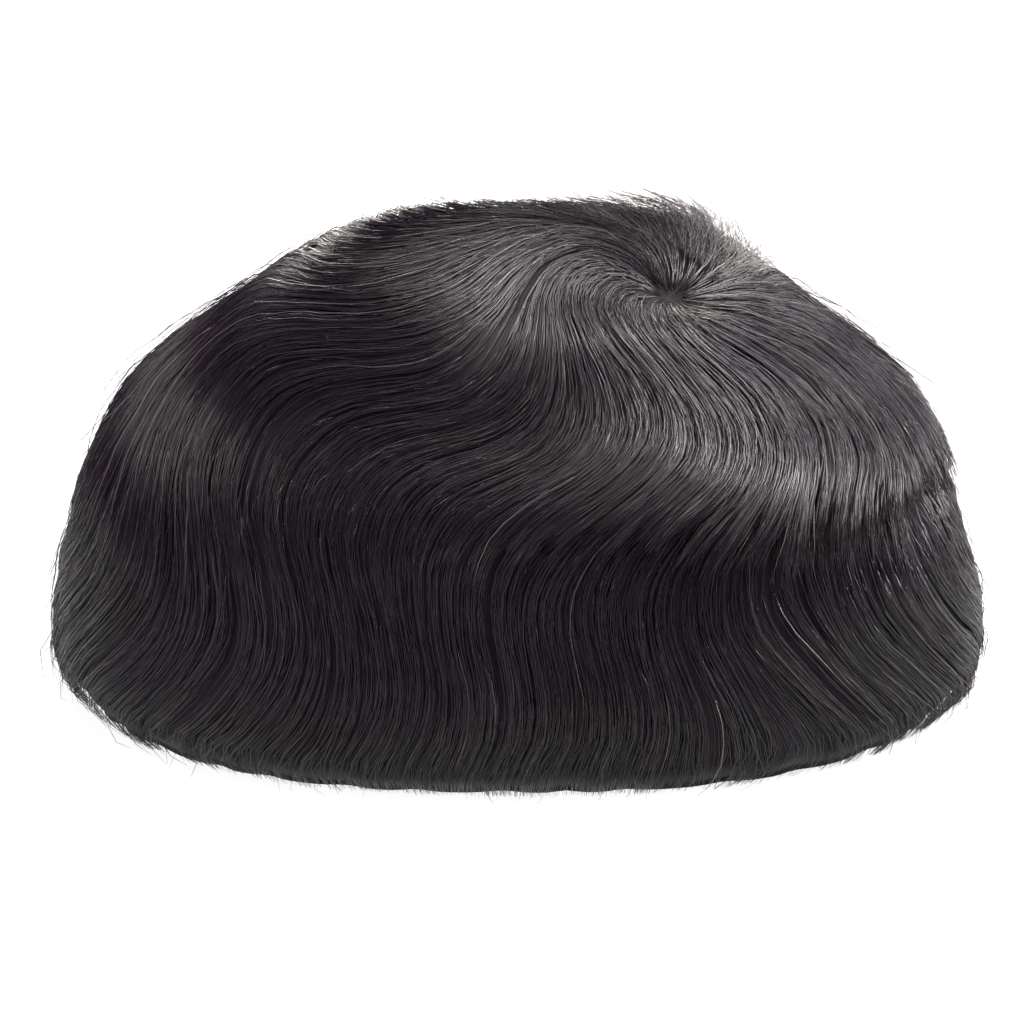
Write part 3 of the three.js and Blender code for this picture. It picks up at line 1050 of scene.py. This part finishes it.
def grown(name, guides, sizes):
    """The strands of a set of guides, as a plain mesh."""
    piece = bpy.data.objects.new(name, guides)
    bpy.context.scene.collection.objects.link(piece)
    modifier = piece.modifiers.new("strands", "NODES")
    modifier.node_group = strand_tree
    for item in strand_tree.interface.items_tree:
        if item.in_out == "INPUT" and item.name in sizes:
            modifier[item.identifier] = sizes[item.name]
    evaluated = piece.evaluated_get(bpy.context.evaluated_depsgraph_get())
    mesh = bpy.data.meshes.new_from_object(evaluated)
    piece.modifiers.remove(modifier)
    piece.data = mesh
    mesh.name = name
    for attribute in [a.name for a in mesh.attributes if not a.name.startswith(".")]:
        if attribute not in KEPT_ATTRIBUTES:
            mesh.attributes.remove(mesh.attributes[attribute])
    return piece


def wisps(first, last):
    """Places of the wisps between two locks, counted in locks round the head."""
    count = (last - first) * WISPS_PER_LOCK
    shift = random.uniform(-0.15, 0.15, (count, 1))
    return first + (np.arange(count)[:, None] + 0.5 + shift) / WISPS_PER_LOCK


# %% Strands of the crown
LOCK_STRANDS = {
    "Strand width": 0.00026,
    "Step": 0.0052,
    "Rise": 0.0008,
    "Latest start": 0.85,
    "Shortest": 0.80,
    "Root depth": 0.0018,
    "Tip lift": 0.0006,
    "Drift": 3.0,
    "Frizz": 0.0009,
    "Seed": 11,
    "Material": strand_material,
}
OVERHANG = 0.16  # where the ledge is hidden, the crown's strands reach this share further
LOBE_REACH = 0.13  # and here a broad lock of them hangs lower than its neighbours
LOBE_FACING = math.radians(25)
LOBE_WIDTH = math.radians(17)


def crown_guides(wisp):
    shape = wisp.shape
    hangs_over = 1 - ledge_seen(angle_of(wisp))
    reach = 1.01 + 0.03 * drifting(angle_of(wisp), 6, 11, 17) + random.uniform(-0.04, 0.06, shape)
    reach = reach + OVERHANG * hangs_over
    reach = reach + LOBE_REACH * bump(angle_of(wisp) - LOBE_FACING, LOBE_WIDTH)
    lift = random.normal(0, 0.0004, shape)
    lean = random.normal(0, 0.11, shape)
    down = np.linspace(0, 1, GUIDE_POINTS)[None, :] ** 0.95
    stands_out = lift * down + flare_at(angle_of(wisp), reach * down)
    half_wisp = WISP_SPREAD / WISPS_PER_LOCK

    def line(side):
        angle = angle_of(wisp + lean * down + side)
        share = np.minimum(1, ledge_share(wisp) * reach * np.maximum(down, 0.008))
        return surface_point(angle + turned(angle, share), share, -stands_out)

    converging = 1 - 0.5 * np.clip((down - 0.75) / 0.25, 0, 1)[..., None]
    across = (line(half_wisp) - line(-half_wisp)) / 2 * converging
    room = 0.0011 + 0.0030 * np.clip((down - 0.8) / 0.2, 0, 1) * (1 - hangs_over)
    share = np.minimum(1, ledge_share(wisp) * reach * down)
    sides = [flow_of(angle_of(wisp + side), share) for side in (-half_wisp, half_wisp)]
    flow, flow_across = sum(sides) / 2, (sides[1] - sides[0]) / 2
    return guide_mesh("crown_guides", line(0.0), across, room, flow, flow_across)


CROWN_PARTS = {
    "crown_strands_left": (-6, 7),
    "crown_strands_back": (7, 20),
    "crown_strands_right": (20, 34),
}
for name, (first, last) in CROWN_PARTS.items():
    sizes = {**LOCK_STRANDS, "Strands per guide": 32}
    joined(grown(name, crown_guides(wisps(first, last)), sizes), "hair")

# %% Strands of the curtains
CURTAIN_GUIDE_POINTS = 30


def curtain_guides(wisp):
    shape = wisp.shape
    lift = random.normal(0, 0.0005, shape)
    lean = random.normal(0, 0.13, shape)
    reach = np.linspace(-0.9, 2.0, CURTAIN_GUIDE_POINTS)[None, :]
    down = np.linspace(0, 1, CURTAIN_GUIDE_POINTS)[None, :]
    half_wisp = WISP_SPREAD / WISPS_PER_LOCK

    def line(side):
        lock = wisp + lean * down + side
        angle = angle_of(lock)
        share = curtain_share(wisp, reach)
        reaches = reach + 0 * lock
        stands = angle + turned(angle, share)
        return curtain_point(stands, share, reaches, ledge_seen(stands), -lift * down)

    converging = 1 - 0.35 * np.clip((down - 0.7) / 0.3, 0, 1)[..., None]
    across = (line(half_wisp) - line(-half_wisp)) / 2 * converging
    room = 0.0012 - 0.0004 * np.clip((down - 0.75) / 0.25, 0, 1)
    share = curtain_share(wisp, reach)
    sides = [flow_of(angle_of(wisp + side), share) for side in (-half_wisp, half_wisp)]
    flow, flow_across = sum(sides) / 2, (sides[1] - sides[0]) / 2
    return guide_mesh("curtain_guides", line(0.0), across, room, flow, flow_across)


CURTAIN_STRANDS = {
    **LOCK_STRANDS,
    "Strands per guide": 34,
    "Latest start": 0.5,
    "Shortest": 0.975,
    "Step": 0.0062,
    "Tip lift": 0.0004,
    "Root depth": 0.0014,
}
for name, first, last in zip(SECTION_NAMES, SECTION_LOCKS, SECTION_LOCKS[1:]):
    sizes = {**CURTAIN_STRANDS, "Seed": 40 + first}
    joined(grown(name + "_strands", curtain_guides(wisps(first, last)), sizes), "hair")

# %% [markdown]
# ## Loose hairs
#
# Some hairs leave their wisp, cross the others and stand off the outline. A few have a painted
# highlight: a much lighter colour that stands in for light glinting on them. Without them hair looks
# like moulded plastic. They come from the same tree, one hair to a guide at random places, with more
# drift, lift and frizz. On the far side of the whorl short hairs stand up in a tuft, because there the
# hair turns against its way.

# %% Loose hairs, and hairs with a painted highlight
LOOSE_HAIRS = {
    **LOCK_STRANDS,
    "Strands per guide": 1,
    "Strand width": 0.0002,
    "Rise": 0.0022,
    "Latest start": 0.8,
    "Shortest": 0.6,
    "Tip lift": 0.006,
    "Drift": 6.0,
    "Frizz": 0.0016,
    "Seed": 71,
}
# Painted highlight: these colours are far lighter than the hair's own and stand in for light glinting on
# single hairs.
FAINT_PAINTED_GLINT = (0.06, 0.05, 0.04, 1)
BRIGHT_PAINTED_GLINT = (0.18, 0.155, 0.13, 1)


def anywhere(count):
    """Random places round the head, counted in locks."""
    return random.uniform(0, LOCKS, (count, 1))


# Material of the hairs with a painted highlight, between a fainter and a brighter painted glint by each
# hair's random shade.
def make_painted_glint_material():
    material, tree, shader = new_material("painted_glint_hairs")
    shade = tree.node("ShaderNodeAttribute", {"attribute_name": "shade"}, output="Fac")
    feed(tree, shader, Base_Color=mixed(tree, shade, FAINT_PAINTED_GLINT, BRIGHT_PAINTED_GLINT))
    shader.inputs["Roughness"].default_value = 0.3
    return material


painted_glint_hairs = {
    **LOOSE_HAIRS,
    "Strand width": 0.00016,
    "Rise": 0.0036,
    "Latest start": 0.9,
    "Shortest": 0.3,
    "Frizz": 0.0010,
    "Seed": 83,
    "Material": make_painted_glint_material(),
}
joined(grown("crown_loose_hairs", crown_guides(anywhere(360)), LOOSE_HAIRS), "hair")
joined(grown("curtain_loose_hairs", curtain_guides(anywhere(420)), LOOSE_HAIRS), "hair")
joined(grown("crown_painted_glint_hairs", crown_guides(anywhere(80)), painted_glint_hairs), "hair")
joined(grown("curtain_painted_glint_hairs", curtain_guides(anywhere(70)), painted_glint_hairs), "hair")

# %% Tuft behind the whorl
TUFT_ANGLES = (132, 216)
TUFT_ROOTS = (0.07, 0.17)  # shares at which the tuft's hairs grow
TUFT_STRANDS = {
    **LOCK_STRANDS,
    "Strands per guide": 12,
    "Strand width": 0.00014,
    "Step": 0.003,
    "Latest start": 0.1,
    "Shortest": 0.6,
    "Root depth": 0.0,
    "Tip lift": 0.003,
    "Frizz": 0.0012,
    "Seed": 97,
}


def tuft_guides(count):
    angle = np.radians(random.uniform(*TUFT_ANGLES, (count, 1)))
    root = random.uniform(*TUFT_ROOTS, (count, 1))
    length = random.uniform(0.09, 0.16, (count, 1))
    stand = random.uniform(0.0025, 0.005, (count, 1))
    down = np.linspace(0, 1, 8)[None, :]

    def line(side):
        return surface_point(angle + side + 0.3 * down, root + length * down, -stand * down**1.3)

    across = (line(0.12) - line(-0.12)) / 2
    flow = line(0.0)
    return guide_mesh("tuft_guides", line(0.0), across, 0.0005 + 0 * down, flow, across)


joined(grown("whorl_tuft", tuft_guides(72), TUFT_STRANDS), "hair")
